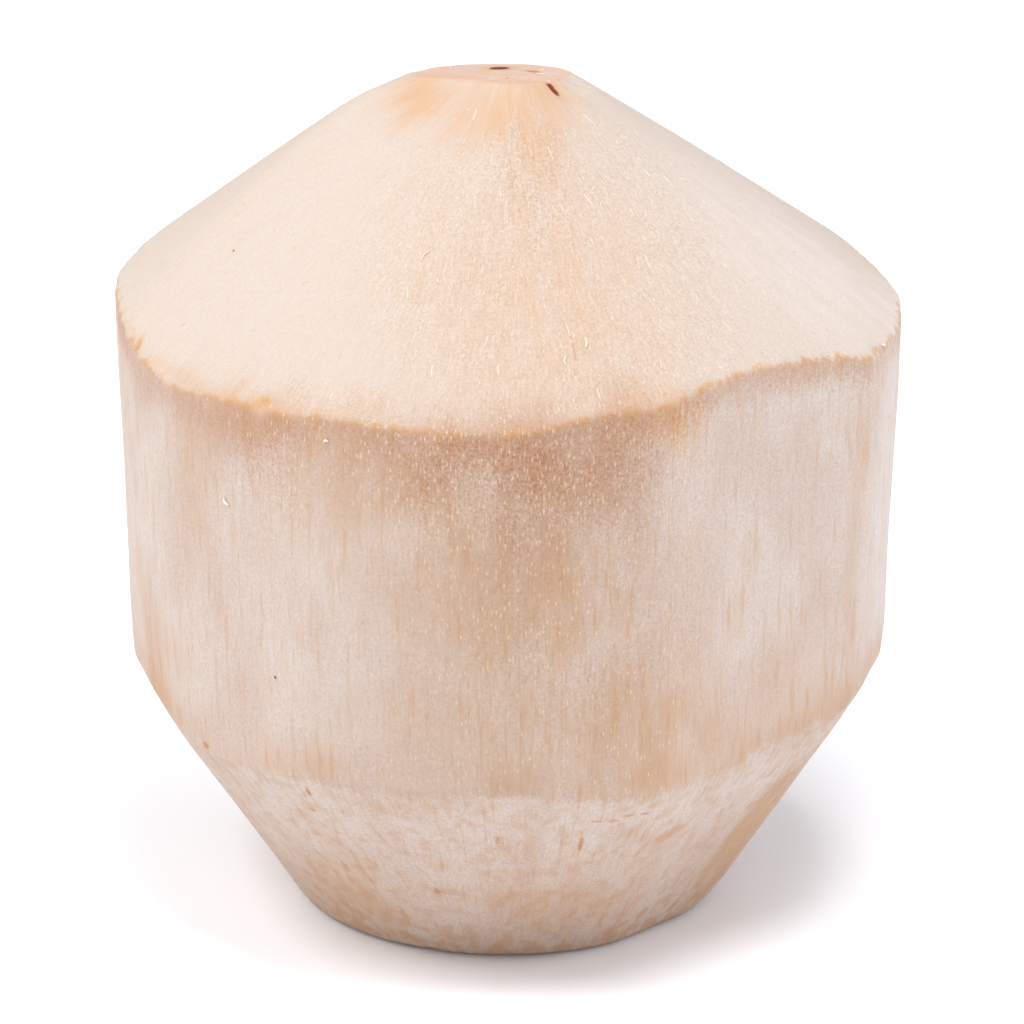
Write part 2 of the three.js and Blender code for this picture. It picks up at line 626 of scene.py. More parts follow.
@dataclass
class HuskSkin:
    """The husk's whole surface as one closed grid, with its relief, its stained patches, its painted shade
    and its painted rim light.

    Attributes:
        form: The solid.
        columns: The number of grid lines down the husk.
        stretches: The rows of the tip cut, crown, wall, foot and base.
        soft_ridge: How wide the ridges between the wall's flats are rounded.
        crisp_ridge: The azimuth of the one ridge that stays sharp, its half width, both in degrees, and
            how much of it stays.
        sparse: How thickly fibre ends lie where no mark asks for them.
        mean_radius: The radius at which noise and flat coordinates are as large as they say.
        fine_pitches: The number of rays in each outline.
        azimuths: The azimuth of each grid line.
        points: The grid's points, by row and column.
        normals: The directions out of the skin.
        grow: The directions down the fibres.
        along: How far down the fibres each point is from the tip.
        edge_rows: The row that lies on each edge.
    """

    form: CadForm
    columns: int = 620
    stretches: tuple[Stretch, ...] = (
        Stretch(22, 0.3), Stretch(46, 0.75), Stretch(42, 0.7), Stretch(32, 0.6), Stretch(6, 0))
    soft_ridge: float = 2.2 * MM
    crisp_ridge: tuple[float, float, float] = (66, 9, 0.75)
    sparse: float = 0.04
    mean_radius: float = 57 * MM
    fine_pitches: int = 420
    azimuths: np.ndarray = field(init=False)
    points: np.ndarray = field(init=False)
    normals: np.ndarray = field(init=False)
    grow: np.ndarray = field(init=False)
    along: np.ndarray = field(init=False)
    edge_rows: dict[Edge, int] = field(init=False)

    def __post_init__(self) -> None:
        """Lays out the grid on the solid and rounds its edges."""
        self.azimuths = np.linspace(-math.pi, math.pi, self.columns, endpoint=False)
        pitches = np.linspace(math.radians(89.9), math.radians(-89.9), self.fine_pitches)
        profiles = self.form.profiles(self.azimuths, pitches)
        grid = np.stack([self._rows_of(profile) for profile in profiles], axis=1)
        radius, height = grid[..., 0], grid[..., 1]
        self.points = np.stack(
            [radius * np.sin(self.azimuths), -radius * np.cos(self.azimuths), height], axis=-1)
        self.edge_rows = dict(zip(Edge, np.cumsum([stretch.rows for stretch in self.stretches[:-1]])))
        self._round_edges()
        self._measure()

    def _rows_of(self, profile: np.ndarray) -> np.ndarray:
        """Spreads the grid's rows along one outline, so that a row lies on each edge."""
        corners = [0]
        for edge in Edge:
            slope = math.radians(edge.value)
            corners.append(int(np.argmax(profile @ (math.cos(slope), math.sin(slope)))))
        corners.append(len(profile) - 1)
        steps = np.hypot(*np.diff(profile, axis=0).T)
        length = np.concatenate([[0], np.cumsum(steps)])
        wanted = []
        for stretch, first, last in zip(self.stretches, corners, corners[1:]):
            even = np.arange(stretch.rows) / stretch.rows
            eased = even - stretch.crowding * np.sin(2 * math.pi * even) / (2 * math.pi)
            wanted.append(length[first] + (length[last] - length[first]) * eased)
        wanted.append([length[-1]])
        wanted = np.concatenate(wanted)
        return np.stack([np.interp(wanted, length, profile[:, part]) for part in (0, 1)], axis=-1)

    def _round_edges(self) -> None:
        """Softens the edges a little along the fibres, and the ridges more across them."""
        for _ in range(2):
            inner = (self.points[:-2] + 2 * self.points[1:-1] + self.points[2:]) / 4
            self.points[1:-1] = inner
        step = 2 * math.pi * self.mean_radius / self.columns
        reach = int(3 * self.soft_ridge / step)
        offsets = np.arange(-reach, reach + 1)
        weights = np.exp(-0.5 * (offsets * step / self.soft_ridge) ** 2)
        weights /= weights.sum()
        soft = sum(weight * np.roll(self.points, int(offset), axis=1)
                   for weight, offset in zip(weights, offsets))
        ridge, half_width, kept = self.crisp_ridge
        away = (np.degrees(self.azimuths) - ridge) / half_width
        crisp = (np.exp(-away ** 2) * kept)[None, :, None]
        self.points = soft * (1 - crisp) + self.points * crisp

    def _measure(self) -> None:
        """Finds the directions out of the skin and down the fibres, and the distance from the tip."""
        down = np.gradient(self.points, axis=0)
        across = np.roll(self.points, -1, axis=1) - np.roll(self.points, 1, axis=1)
        self.normals = unit(np.cross(down, across))
        self.grow = unit(down)
        steps = np.linalg.norm(np.diff(self.points, axis=0), axis=-1)
        self.along = np.concatenate([np.zeros((1, self.columns)), np.cumsum(steps, axis=0)])

    def from_edge(self, edge: Edge) -> np.ndarray:
        """How far down the fibres each point is from an edge."""
        return self.along - self.along[self.edge_rows[edge]]

    def beside(self, edge: Edge, reach_mm: float) -> np.ndarray:
        """1 on an edge, fading to 0 on both sides."""
        return np.exp(-(self.from_edge(edge) / (reach_mm * MM)) ** 2)

    def locate(self, azimuth: float, height_mm: float) -> tuple[int, int]:
        """The row and column of the grid at an azimuth in degrees and a height."""
        turn = (math.radians(azimuth) + math.pi) / (2 * math.pi)
        column = int(round(turn * self.columns)) % self.columns
        above = np.nonzero(self.points[:, column, 2] >= height_mm * MM)[0]
        return int(above.max()), column

    def _offsets(self, mark: Place) -> tuple[np.ndarray, np.ndarray]:
        """How far each point is from a mark, round the husk and down the fibres."""
        row, column = self.locate(mark.azimuth, mark.height_mm)
        turn = self.azimuths - self.azimuths[column]
        turn = (turn + math.pi) % (2 * math.pi) - math.pi
        radius = np.hypot(self.points[..., 0], self.points[..., 1])
        return radius * turn[None, :], self.along - self.along[row, column]

    def layers(self, marks: dict[Layer, Sequence[Mark]]) -> np.ndarray:
        """The marks' layers over the grid, with uneven edges."""
        layers = np.zeros((len(Layer), *self.along.shape))
        wander_side = (3 * self.grain(8, 14, 7) + 0.8 * self.grain(2, 6, 3)) * MM
        wander_down = (5 * self.grain(7, 16, 11) + 1.8 * self.grain(1.8, 8, 5)) * MM
        for layer, mark in ((layer, mark) for layer, group in marks.items() for mark in group):
            side, down = self._offsets(mark)
            calm = min(1, 3 / mark.hard)
            side = side + wander_side * calm * min(1, mark.half_width_mm / 6) - mark.lean * down
            down = down + wander_down * calm * min(1, mark.half_height_mm / 8)
            far = np.hypot(side / (mark.half_width_mm * MM), down / (mark.half_height_mm * MM))
            shown = layers[layer.value]
            np.maximum(shown, mark.strength * np.exp(-far ** mark.hard), out=shown)
        return layers

    def spots(self, spots: Iterable[Spot]) -> tuple[np.ndarray, np.ndarray]:
        """The place of each point relative to the nearest spot, and how deep the spots are cut.

        Args:
            spots: The spots.

        Returns:
            The (sideways, downward, darkness) of each point, counted in half sizes, and the depth.
        """
        nearest = np.full(self.along.shape, np.inf)
        places = np.zeros((*self.along.shape, 3))
        depth = np.zeros(self.along.shape)
        for spot in spots:
            side, down = np.abs(self._offsets(spot))
            side /= spot.half_width_mm * MM
            down /= spot.half_height_mm * MM
            far = np.hypot(side, down)
            closer = far < nearest
            nearest = np.where(closer, far, nearest)
            here = np.stack([side, down, np.full_like(side, spot.darkness)], axis=-1)
            places = np.where(closer[..., None], here, places)
            depth = np.maximum(depth, spot.depth_mm * MM * np.exp(-far ** 2))
        farthest = 50
        return np.minimum(places, farthest), depth

    def grain(self, across_mm: float, down_mm: float, seed: float) -> np.ndarray:
        """Noise over the grid, stretched along the fibres.

        Args:
            across_mm: The size of a cell round the husk.
            down_mm: The size of a cell along the fibres.
            seed: Moves the noise, so that two layers differ.

        Returns:
            The noise, about -1 to 1.
        """
        turn = self.mean_radius / (across_mm * MM)
        heights = self.along / (down_mm * MM) + seed
        result = np.empty_like(self.along)
        for column, azimuth in enumerate(self.azimuths):
            x, y = turn * math.sin(azimuth), turn * math.cos(azimuth)
            result[:, column] = [noise.noise((x, y, height)) for height in heights[:, column]]
        return result

    def relief(self, coarse: np.ndarray) -> np.ndarray:
        """How far each point stands out: broad waves, fine grain along the fibres, and worn edges."""
        off_tip = np.clip(self.from_edge(Edge.TIP) / (12 * MM), 0, 1)
        height = 0.3 * self.grain(20, 30, 0)
        height += (0.05 + 0.08 * coarse) * self.grain(1.5, 20, 50) * off_tip
        height += (0.03 + 0.08 * coarse) * self.grain(1, 6, 90) * off_tip
        for wear in WEAR:
            bites = np.clip(self.grain(wear.width_mm, 40, wear.seed) - wear.spared, 0, 1)
            height -= wear.depth_mm * bites * self.beside(wear.edge, wear.reach_mm)
        return height * MM

    def build(self, marks: dict[Layer, Sequence[Mark]], spots: Iterable[Spot]) -> bpy.types.Object:
        """Makes the husk's mesh, with its relief and with what its finish and the fibres go by.

        Args:
            marks: The soft marks on each layer.
            spots: The small dark spots.

        Returns:
            The husk's object.
        """
        layers = self.layers(marks)
        spot_places, depth = self.spots(spots)
        coarse, ends = layers[Layer.COARSE.value], layers[Layer.ENDS.value]
        off_floor = np.clip(self.points[..., 2] / (2 * MM), 0, 1)
        shaped = self.points + self.normals * ((self.relief(coarse) - depth) * off_floor)[..., None]
        shaped -= unit(self.points * (1, 1, 0)) * (layers[Layer.DENT.value] * MM)[..., None]
        shaped[..., 2] = np.maximum(shaped[..., 2], 0)
        mesh = self._mesh(shaped)
        edges = [self.from_edge(edge) for edge in (Edge.RIM, Edge.LOW, Edge.BASE)]
        crown = self.from_edge(Edge.RIM) < -2 * MM
        clumps = np.clip(self.grain(3, 60, 70) + 0.15, 0, 1)
        stored = {
            "fibre": self._fibre_places(),
            "edges": np.stack(edges, axis=-1),
            # peach, ochre and pale marks; the pale ones at the far left and right edges are painted rim light
            "stains_and_rim_light": np.stack(layers[:3], axis=-1),
            # the brown stain with painted shade under the rim, the coarseness and the fibre ends
            "shade_and_texture": np.stack(layers[3:6], axis=-1),
            "spots": spot_places,
            "grow": self.grow,
            "off_tip": np.clip(self.from_edge(Edge.TIP) / (8 * MM), 0, 1),
            "ends": ends + self.sparse,
            "long_ends": crown * (0.06 + coarse),
            "flecks": crown * coarse,
            "rim_fray": clumps * self.beside(Edge.RIM, 0.5),
            "base_fray": clumps * self.beside(Edge.BASE, 0.8),
        }
        for name, values in stored.items():
            self._store(mesh, name, values)
        return show("husk_skin", mesh)

    def _fibre_places(self) -> np.ndarray:
        """Coordinates that follow the fibres: round the husk in x and y, and down it in z."""
        x, y = self.mean_radius * np.sin(self.azimuths), -self.mean_radius * np.cos(self.azimuths)
        return np.stack([*np.broadcast_arrays(x, y, self.along)], axis=-1)

    def _mesh(self, points: np.ndarray) -> bpy.types.Mesh:
        """Joins the grid's points, closed round the husk and at both ends, with flat coordinates."""
        rows, columns = points.shape[:2]
        ends = [points[0].mean(axis=0), points[-1].mean(axis=0)]
        column = np.arange(columns)
        after = (column + 1) % columns
        starts = (np.arange(rows - 1) * columns)[:, None]
        corners = [starts + column, starts + columns + column, starts + columns + after, starts + after]
        faces = np.stack(corners, axis=-1).reshape(-1, 4).tolist()
        last, high = (rows - 1) * columns, rows * columns
        neighbours = list(zip(column.tolist(), after.tolist()))
        faces += [[high, a, b] for a, b in neighbours]
        faces += [[high + 1, last + b, last + a] for a, b in neighbours]
        mesh = smooth_mesh("husk_skin", np.concatenate([points.reshape(-1, 3), ends]).tolist(), faces)
        self._unroll(mesh, rows, columns)
        mesh.update()
        return mesh

    def _unroll(self, mesh: bpy.types.Mesh, rows: int, columns: int) -> None:
        """Gives each corner the distance round the husk and down it, unbroken but for one seam."""
        corners = np.empty(len(mesh.loops), np.int32)
        mesh.loops.foreach_get("vertex_index", corners)
        column = np.minimum(corners, rows * columns - 1) % columns
        is_pole = corners >= rows * columns
        starts = [face.loop_start for face in mesh.polygons]
        first = np.repeat(starts, [face.loop_total for face in mesh.polygons])
        beside_pole = column[np.minimum(first + 1, len(corners) - 1)]
        left = np.where(is_pole[first], beside_pole, column[first])
        wraps = (left == columns - 1) & (column == 0)
        turned = np.where(is_pole, left + 0.5, column + columns * wraps)
        step = 2 * math.pi * self.mean_radius / columns
        along = np.concatenate([self.along.ravel(), [self.along[0].mean(), self.along[-1].mean()]])
        layer = mesh.uv_layers.new(name="weave")
        layer.uv.foreach_set("vector", np.stack([turned * step, along[corners]], axis=-1).ravel())

    def _store(self, mesh: bpy.types.Mesh, name: str, values: np.ndarray) -> None:
        """Writes a number for each point and 0 at the two ends, or a vector and the end rows' means."""
        kind, key, ends = "FLOAT", "value", [0, 0]
        if values.ndim == 3:
            kind, key, ends = "FLOAT_VECTOR", "vector", [values[0].mean(axis=0), values[-1].mean(axis=0)]
        flat = np.append(values.ravel(), ends).astype(np.float32)
        mesh.attributes.new(name, kind, "POINT").data.foreach_set(key, flat)


@dataclass(frozen=True)
class HuskFinish:
    """The bare cut husk: pale fibres, stained where the air has reached them, with painted shade under the
    rim and in the open slits, and painted rim light at the far left and right edges.

    Attributes:
        cream: The crown, where the cut is cleanest.
        warm: The stain on the crown.
        blush: The wall and the foot.
        white: The dry, whitish patches, and painted rim light on the far left and right edges.
        peach: The common stain.
        ochre: The yellow-brown streaks and the line along the rim.
        umber_and_shade: The brown stain under the rim, deepened with painted shade where the light falls off
            below the rim.
        straw: The yellow fibres.
        light: The fibre ends.
        pink: The cut across the tip.
        brown: Knots and dashes.
        dark: Open slits, brown deepened to near black as painted shade, and dark specks.
        roughness: How dull it is.
    """

    cream: Colour = from_screen(188, 174, 163)
    warm: Colour = from_screen(190, 157, 130)
    blush: Colour = from_screen(185, 166, 154)
    white: Colour = from_screen(196, 184, 176)
    peach: Colour = from_screen(180, 146, 119)
    ochre: Colour = from_screen(186, 140, 90)
    umber_and_shade: Colour = from_screen(168, 125, 97)
    straw: Colour = from_screen(192, 165, 116)
    light: Colour = from_screen(203, 183, 155)
    pink: Colour = from_screen(197, 158, 136)
    brown: Colour = from_screen(168, 104, 60)
    dark: Colour = from_screen(100, 34, 8)
    roughness: float = 0.74

    def build(self) -> bpy.types.Material:
        """Makes the husk's material. The distances from the edges are in mm here."""
        material, sheet = new_material("husk_flesh")
        fibre = sheet.attribute("fibre")
        weave = sheet.add("ShaderNodeUVMap", {"uv_map": "weave"}, {})
        rim, low, base = (sheet.attribute("edges") * (1 / MM)).split()
        # pale holds the whitish patches and the painted rim light at the far edges
        peach, ochre, pale = sheet.attribute("stains_and_rim_light").split()
        # the first holds the brown stain under the rim with its painted shade
        umber_and_shade, coarse, ends = sheet.attribute("shade_and_texture").split()
        side, down, darkness = sheet.attribute("spots").split()
        off_tip = sheet.attribute("off_tip", "Fac")

        # The noise that everything is drawn with, calm at the tip where the fibres meet
        broad = sheet.cloud(fibre, (13, 13, 22), 1.5)
        patch = sheet.cloud(fibre, (3.6, 3.6, 10))
        streak = 0.5 + (sheet.cloud(weave, (1.1, 12), 2, 0.6) - 0.5) * off_tip
        hair = 0.5 + (sheet.cloud(weave, (0.4, 3), 1, 0.6) - 0.5) * off_tip
        speckle = sheet.cloud(sheet.position(), (0.43, 0.43, 0.43), 1, 0.7)
        mottle = sheet.cloud(sheet.position(), (2.2, 2.2, 3.2), 1.5, 0.6)

        # The wall and the foot, with ragged upper edges
        ragged = (speckle - 0.5) * 3 + (hair - 0.5) * 1.6
        edge = rim + ragged + (mottle - 0.5) * 2.6
        drift = low + ragged + (patch - 0.5) * 5
        below = edge.ramp(-0.25, 0.25)
        wall = below * drift.ramp(1.2, -1.2)
        under = drift.ramp(-1, 1)
        flat = sheet.mix(broad.ramp(0.36, 0.7, 0, 0.7), self.blush, self.white)
        colour = sheet.mix(below, self.cream, flat)

        # Whitish patches, with painted rim light at the far left and right edges, and the peach stain: marks,
        # bands over both lower edges, mottling and streaks
        lip = drift.ramp(-1.2, 1.2) * low.ramp(24, 1) * broad.ramp(0.35, 0.6, 0.5, 1.2)
        # whitish patches; at the far left and right edges the pale marks are painted rim light
        whitish = pale * patch.ramp(0.3, 0.6, 0.55, 1.1) + lip * 0.5
        band = low.ramp(-9, -1) * wall * broad.ramp(0.4, 0.6, 0.1, 0.55)
        foot = base.ramp(-15, 0) * mottle.ramp(0.36, 0.64, 0.1, 0.6)
        fine = (mottle.ramp(0.42, 0.72) * 0.44 + streak.ramp(0.56, 0.7) * 0.2 + 0.1) * under
        stained = peach * patch.ramp(0.3, 0.65, 0.7, 1.15) + broad.ramp(0.55, 0.75) * below * 0.3
        stained = stained + band + foot + fine + streak.ramp(0.5, 0.75) * (0.1 + wall * 0.2)

        # The brown stain with painted shade under the rim, the yellow-brown streaks, and the line along the
        # rim
        shaded = umber_and_shade * patch.ramp(0.25, 0.6, 0.85, 1.05)
        drawn = ochre * streak.ramp(0.35, 0.6, 0.5, 1.1) + streak.ramp(0.64, 0.78) * wall * (1 - umber_and_shade) * 0.15
        # Just below the rim: the brown stain fading down from the rim line, deepened with painted shade
        fade = edge.ramp(0, 0.4) * edge.ramp(6, 0.6) * broad.ramp(0.4, 0.6, 0.25, 0.55)
        stripe = edge.ramp(-0.5, 0) * edge.ramp(1.1, 0.2) * mottle.ramp(0.36, 0.6, 0.1, 0.7)

        # Straw-coloured fibres in the wall, pale fibre ends, the cut across the tip and the dark spots, with
        # painted shade in the open slits
        line_place, line_pick = sheet.cells(weave, (1.4, 8))
        lines = line_place.ramp(0.15, 0.05) * line_pick.ramp(0.5, 0.55) * below
        end_place, end_pick = sheet.cells(weave, (0.62, 2.1))
        tips = end_place.ramp(0.24, 0.08) * (ends * 0.9 - end_pick).ramp(-0.01, 0.15)
        plate = off_tip.ramp(0.1, 0) * mottle.ramp(0.35, 0.65, 0.2, 0.8)
        far = side * side + down * down
        spot = (far + (speckle - 0.5) * 0.9).ramp(1.4, 0.6)
        # Brown for knots and dashes; near black for specks and for the open slits, where it is painted shade.
        slit = sheet.mix(darkness.ramp(0.55, 0.95), self.brown, self.dark)

        # The coats, each over the last
        for share, paint in (
                # whitish patches and painted rim light at the far edges
                (whitish, self.white),
                (stained * (0.25 + speckle * 1.5), sheet.mix(below, self.warm, self.peach)),
                # brown stain with painted shade under the rim
                (shaded, self.umber_and_shade),
                (drawn, self.ochre),
                # brown stain fading below the rim, with painted shade
                (fade, self.umber_and_shade),
                (stripe, self.ochre),
                (lines * patch.ramp(0.4, 0.6, 0.15, 1) * 0.6, self.straw),
                (tips * (0.8 - end_pick * 0.5), self.light),
                (plate, self.pink),
                (far.ramp(7, 1) * darkness * 0.45, self.ochre),
                # dark spots, with painted shade in the open slits
                (spot * (darkness * 1.5).limit(), slit)):
            colour = sheet.mix(share, colour, paint)
        grit = (speckle - 0.5) * (0.22 + below * 0.2 + under * 0.12 + coarse * (0.45 + below * 0.25))
        grit = grit + (hair - 0.5) * (0.07 + below * 0.07 + coarse * 0.22)
        tint = sheet.add("ShaderNodeCombineXYZ", {}, {0: grit * 0.65, 1: grit, 2: grit * 1.6})
        colour = colour * (1 + tint)

        # The fine relief
        rough_cut = 0.35 + coarse + low.ramp(-1, 1) * 0.3
        height = (hair * 0.5 + speckle) * rough_cut - spot * 0.8
        roughness = speckle.ramp(0.2, 0.8, self.roughness - 0.08, self.roughness + 0.1)
        close_material(sheet, {"Base Color": colour, "Roughness": roughness, "Specular IOR Level": 0.3,
                               "Normal": sheet.bump(height, 0.6, 0.16)})
        return material


@dataclass(frozen=True)
class FibreFinish:
    """Loose fibre ends, from nearly white to straw.

    Attributes:
        name: What the material is called.
        light: The palest fibre.
        straw: The deepest.
    """

    name: str = "husk_fibre"
    light: Colour = from_screen(206, 187, 163)
    straw: Colour = from_screen(186, 155, 123)

    def build(self) -> bpy.types.Material:
        """Makes the fibres' material."""
        material, sheet = new_material(self.name)
        shade, _, _ = sheet.attribute("shade").split()
        grain = sheet.cloud(sheet.position(), (0.3, 0.3, 0.3), 1)
        colour = sheet.mix(shade + (grain - 0.5) * 0.4, self.light, self.straw)
        roughness = grain.ramp(0.2, 0.8, 0.6, 0.8)
        normal = sheet.bump(grain, 0.4, 0.05)
        close_material(sheet, {"Base Color": colour, "Roughness": roughness, "Normal": normal})
        return material


# Loose fibres


@dataclass(frozen=True)
class Sliver:
    """The shape of one fibre end, 1 long, tapered to both ends and lifted at the tip.

    Attributes:
        sides: The number of sides round it.
        stations: How far along it each ring is, and the ring's size.
        lift: How high the tip rises.
    """

    sides: int = 5
    stations: tuple[tuple[float, float], ...] = ((-0.28, 0.8), (0.05, 1), (0.32, 0.65))
    lift: float = 0.12

    def build(self, name: str) -> bpy.types.Object:
        """Makes the sliver, out of sight of the camera, for the scatter to copy."""
        vertices = [(-0.5, 0, -0.3)]
        for along, size in self.stations:
            rise = self.lift * (along + 0.5) ** 2
            for turn in (2 * math.pi * side / self.sides for side in range(self.sides)):
                vertices.append((along, size * math.cos(turn), size * math.sin(turn) + rise))
        vertices.append((0.5, 0, self.lift * 2))
        last = len(vertices) - 1
        faces = ring_quads(1, len(self.stations), self.sides)
        for side in range(self.sides):
            after = (side + 1) % self.sides
            faces.append((0, 1 + after, 1 + side))
            faces.append((last - self.sides + side, last - self.sides + after, last))
        return bpy.data.objects.new(name, smooth_mesh(name, vertices, faces))


@dataclass(frozen=True)
class Scatter:
    """Slivers strewn over the husk along its fibres.

    Attributes:
        name: What the slivers are.
        source: The husk's attribute that says where they lie thickest.
        per_square_mm: How many lie where the attribute is 1.
        length_mm: The least and greatest length.
        thickness_mm: The least and greatest half thickness.
        swing: How far they turn away from the fibres, in degrees either way.
        seed: Picks one strewing.
    """

    name: str
    source: str
    per_square_mm: float
    length_mm: tuple[float, float]
    thickness_mm: tuple[float, float]
    swing: float
    seed: int

    def build(self, husk: bpy.types.Object, sliver: bpy.types.Object,
              material: bpy.types.Material) -> bpy.types.Object:
        """Strews the slivers and makes them a plain mesh.

        Args:
            husk: The piece they lie on, which holds the source and the fibres' direction.
            sliver: One sliver.
            material: Their material.

        Returns:
            The slivers' object.
        """
        carrier = show(self.name, husk.data.copy())
        modifier = carrier.modifiers.new(self.name, "NODES")
        modifier.node_group = self._tree(sliver, material)
        values = {"Per square metre": self.per_square_mm / MM ** 2, "Seed": self.seed,
                  "Swing": math.radians(self.swing)}
        for item in modifier.node_group.interface.items_tree:
            if item.name in values:
                modifier[item.identifier] = values[item.name]
        graph = bpy.context.evaluated_depsgraph_get()
        mesh = bpy.data.meshes.new_from_object(carrier.evaluated_get(graph))
        mesh.name = self.name
        carrier.modifiers.remove(modifier)
        carrier.data = mesh
        return carrier

    def _tree(self, sliver: bpy.types.Object, material: bpy.types.Material) -> bpy.types.NodeTree:
        """Draws up the node tree that strews the slivers."""
        tree = bpy.data.node_groups.new(self.name, "GeometryNodeTree")
        entries = {"Geometry": "Geometry", "Per square metre": "Float", "Seed": "Int", "Swing": "Float"}
        for name, kind in entries.items():
            tree.interface.new_socket(name, in_out="INPUT", socket_type=f"NodeSocket{kind}")
        tree.interface.new_socket("Geometry", in_out="OUTPUT", socket_type="NodeSocketGeometry")
        sheet = NodeSheet(tree)
        entry = sheet.place("NodeGroupInput", {}, {})
        skin, density, seed, swing = (Wire(sheet, socket) for socket in entry.outputs[:len(entries)])
        weight = sheet.add("GeometryNodeInputNamedAttribute", {"data_type": "FLOAT"}, {"Name": self.source})
        points = sheet.place("GeometryNodeDistributePointsOnFaces", {"distribute_method": "RANDOM"},
                             {"Mesh": skin, "Density": density * weight, "Seed": seed})
        spots, normals = Wire(sheet, points.outputs["Points"]), Wire(sheet, points.outputs["Normal"])
        grow = sheet.add("GeometryNodeInputNamedAttribute", {"data_type": "FLOAT_VECTOR"}, {"Name": "grow"})
        facing = sheet.add("FunctionNodeAxesToRotation", {"primary_axis": "Z", "secondary_axis": "X"},
                           {"Primary Axis": normals, "Secondary Axis": grow})
        angle = self._random(sheet, seed, 1, -swing, swing)
        spin = sheet.add("FunctionNodeAxisAngleToRotation", {}, {"Axis": (0, 0, 1), "Angle": angle})
        turned = sheet.add("FunctionNodeRotateRotation", {"rotation_space": "LOCAL"},
                           {"Rotation": facing, "Rotate By": spin})
        length = self._random(sheet, seed, 2, *(size * MM for size in self.length_mm))
        thickness = self._random(sheet, seed, 3, *(size * MM for size in self.thickness_mm))
        scale = sheet.add("ShaderNodeCombineXYZ", {}, {0: length, 1: thickness, 2: thickness})
        shape = sheet.add("GeometryNodeObjectInfo", {}, {"Object": sliver}, "Geometry")
        copies = sheet.add("GeometryNodeInstanceOnPoints", {},
                           {"Points": spots, "Instance": shape, "Rotation": turned, "Scale": scale})
        shade = sheet.add("ShaderNodeCombineXYZ", {}, {0: self._random(sheet, seed, 4, 0, 1)})
        settings = {"data_type": "FLOAT_VECTOR", "domain": "INSTANCE"}
        named = sheet.add("GeometryNodeStoreNamedAttribute", settings,
                          {"Geometry": copies, "Name": "shade", "Value": shade})
        whole = sheet.add("GeometryNodeRealizeInstances", {}, {"Geometry": named})
        dressed = sheet.add("GeometryNodeSetMaterial", {}, {"Geometry": whole, "Material": material})
        sheet.place("NodeGroupOutput", {}, {0: dressed})
        return tree

    def _random(self, sheet: NodeSheet, seed: Wire, offset: int, low: Feed, high: Feed) -> Wire:
        """A random number for each sliver, from low to high."""
        node = sheet.place("FunctionNodeRandomValue", {"data_type": "FLOAT"}, {"Seed": seed + offset})
        enabled = [item for item in node.inputs if item.enabled]
        for socket, limit in zip(enabled, (low, high)):
            sheet.feed(socket, limit)
        return Wire(sheet, next(item for item in node.outputs if item.enabled))


@dataclass(frozen=True)
class Curl:
    """A curled shaving that sticks to the husk.

    Attributes:
        azimuth: The direction of its middle in degrees.
        height_mm: The height of its middle.
        radius_mm: How tightly it curls.
        sweep: How far round it curls, in degrees.
        thickness_mm: Half its thickness.
        turn: How far it is turned on the surface, in degrees.
    """

    azimuth: float
    height_mm: float
    radius_mm: float
    sweep: float
    thickness_mm: float
    turn: float

    def rings(self, skin: HuskSkin, stations: int = 14, sides: int = 6) -> np.ndarray:
        """The points of a tapered tube along the curl, resting on the skin.

        Args:
            skin: The husk's skin.
            stations: The number of rings.
            sides: The number of points in each.

        Returns:
            An array of [station, side, (x, y, z)].
        """
        row, column = skin.locate(self.azimuth, self.height_mm)
        middle, out = skin.points[row, column], skin.normals[row, column]
        down = skin.points[row + 1, column] - skin.points[row - 1, column]
        down /= np.linalg.norm(down)
        across = np.cross(out, down)
        start = math.radians(self.turn)
        rings = []
        for share in np.linspace(0, 1, stations):
            angle = start + math.radians(self.sweep) * (share - 0.5)
            spoke = math.cos(angle) * across + math.sin(angle) * down
            lift = self.thickness_mm * (0.4 + 0.6 * share)
            centre = middle + (spoke * self.radius_mm + out * lift) * MM
            size = self.thickness_mm * MM * (0.25 + 0.75 * math.sin(math.pi * (0.06 + 0.88 * share)))
            around = np.linspace(0, 2 * math.pi, sides, endpoint=False)
            rings.append(centre + size * (np.outer(np.cos(around), spoke) + np.outer(np.sin(around), out)))
        return np.array(rings)


CURLS = (
    Curl(-45, 76.6, 0.8, 100, 0.2, 140),
    Curl(-26, 89.6, 0.5, 100, 0.2, 250),
    Curl(70, 92.5, 0.7, 100, 0.16, 300),
    Curl(-18.2, 110, 1.6, 70, 0.07, 200),
    Curl(12, 102.5, 1.6, 70, 0.13, 10),
    Curl(11.2, 100, 1.2, 90, 0.11, 190),
)


def build_curls(skin: HuskSkin, curls: Sequence[Curl], material: bpy.types.Material) -> bpy.types.Object:
    """Makes the curled shavings as one piece.

    Args:
        skin: The husk's skin.
        curls: The shavings.
        material: Their material.

    Returns:
        Their object.
    """
    vertices, faces = [], []
    for curl in curls:
        rings = curl.rings(skin)
        stations, sides = rings.shape[:2]
        first = len(vertices)
        vertices.extend(rings.reshape(-1, 3).tolist())
        faces += ring_quads(first, stations, sides)
        faces.append(tuple(first + side for side in reversed(range(sides))))
        faces.append(tuple(range(len(vertices) - sides, len(vertices))))
    mesh = smooth_mesh("curls", vertices, faces)
    mesh.materials.append(material)
    return show("curls", mesh)


# The studio


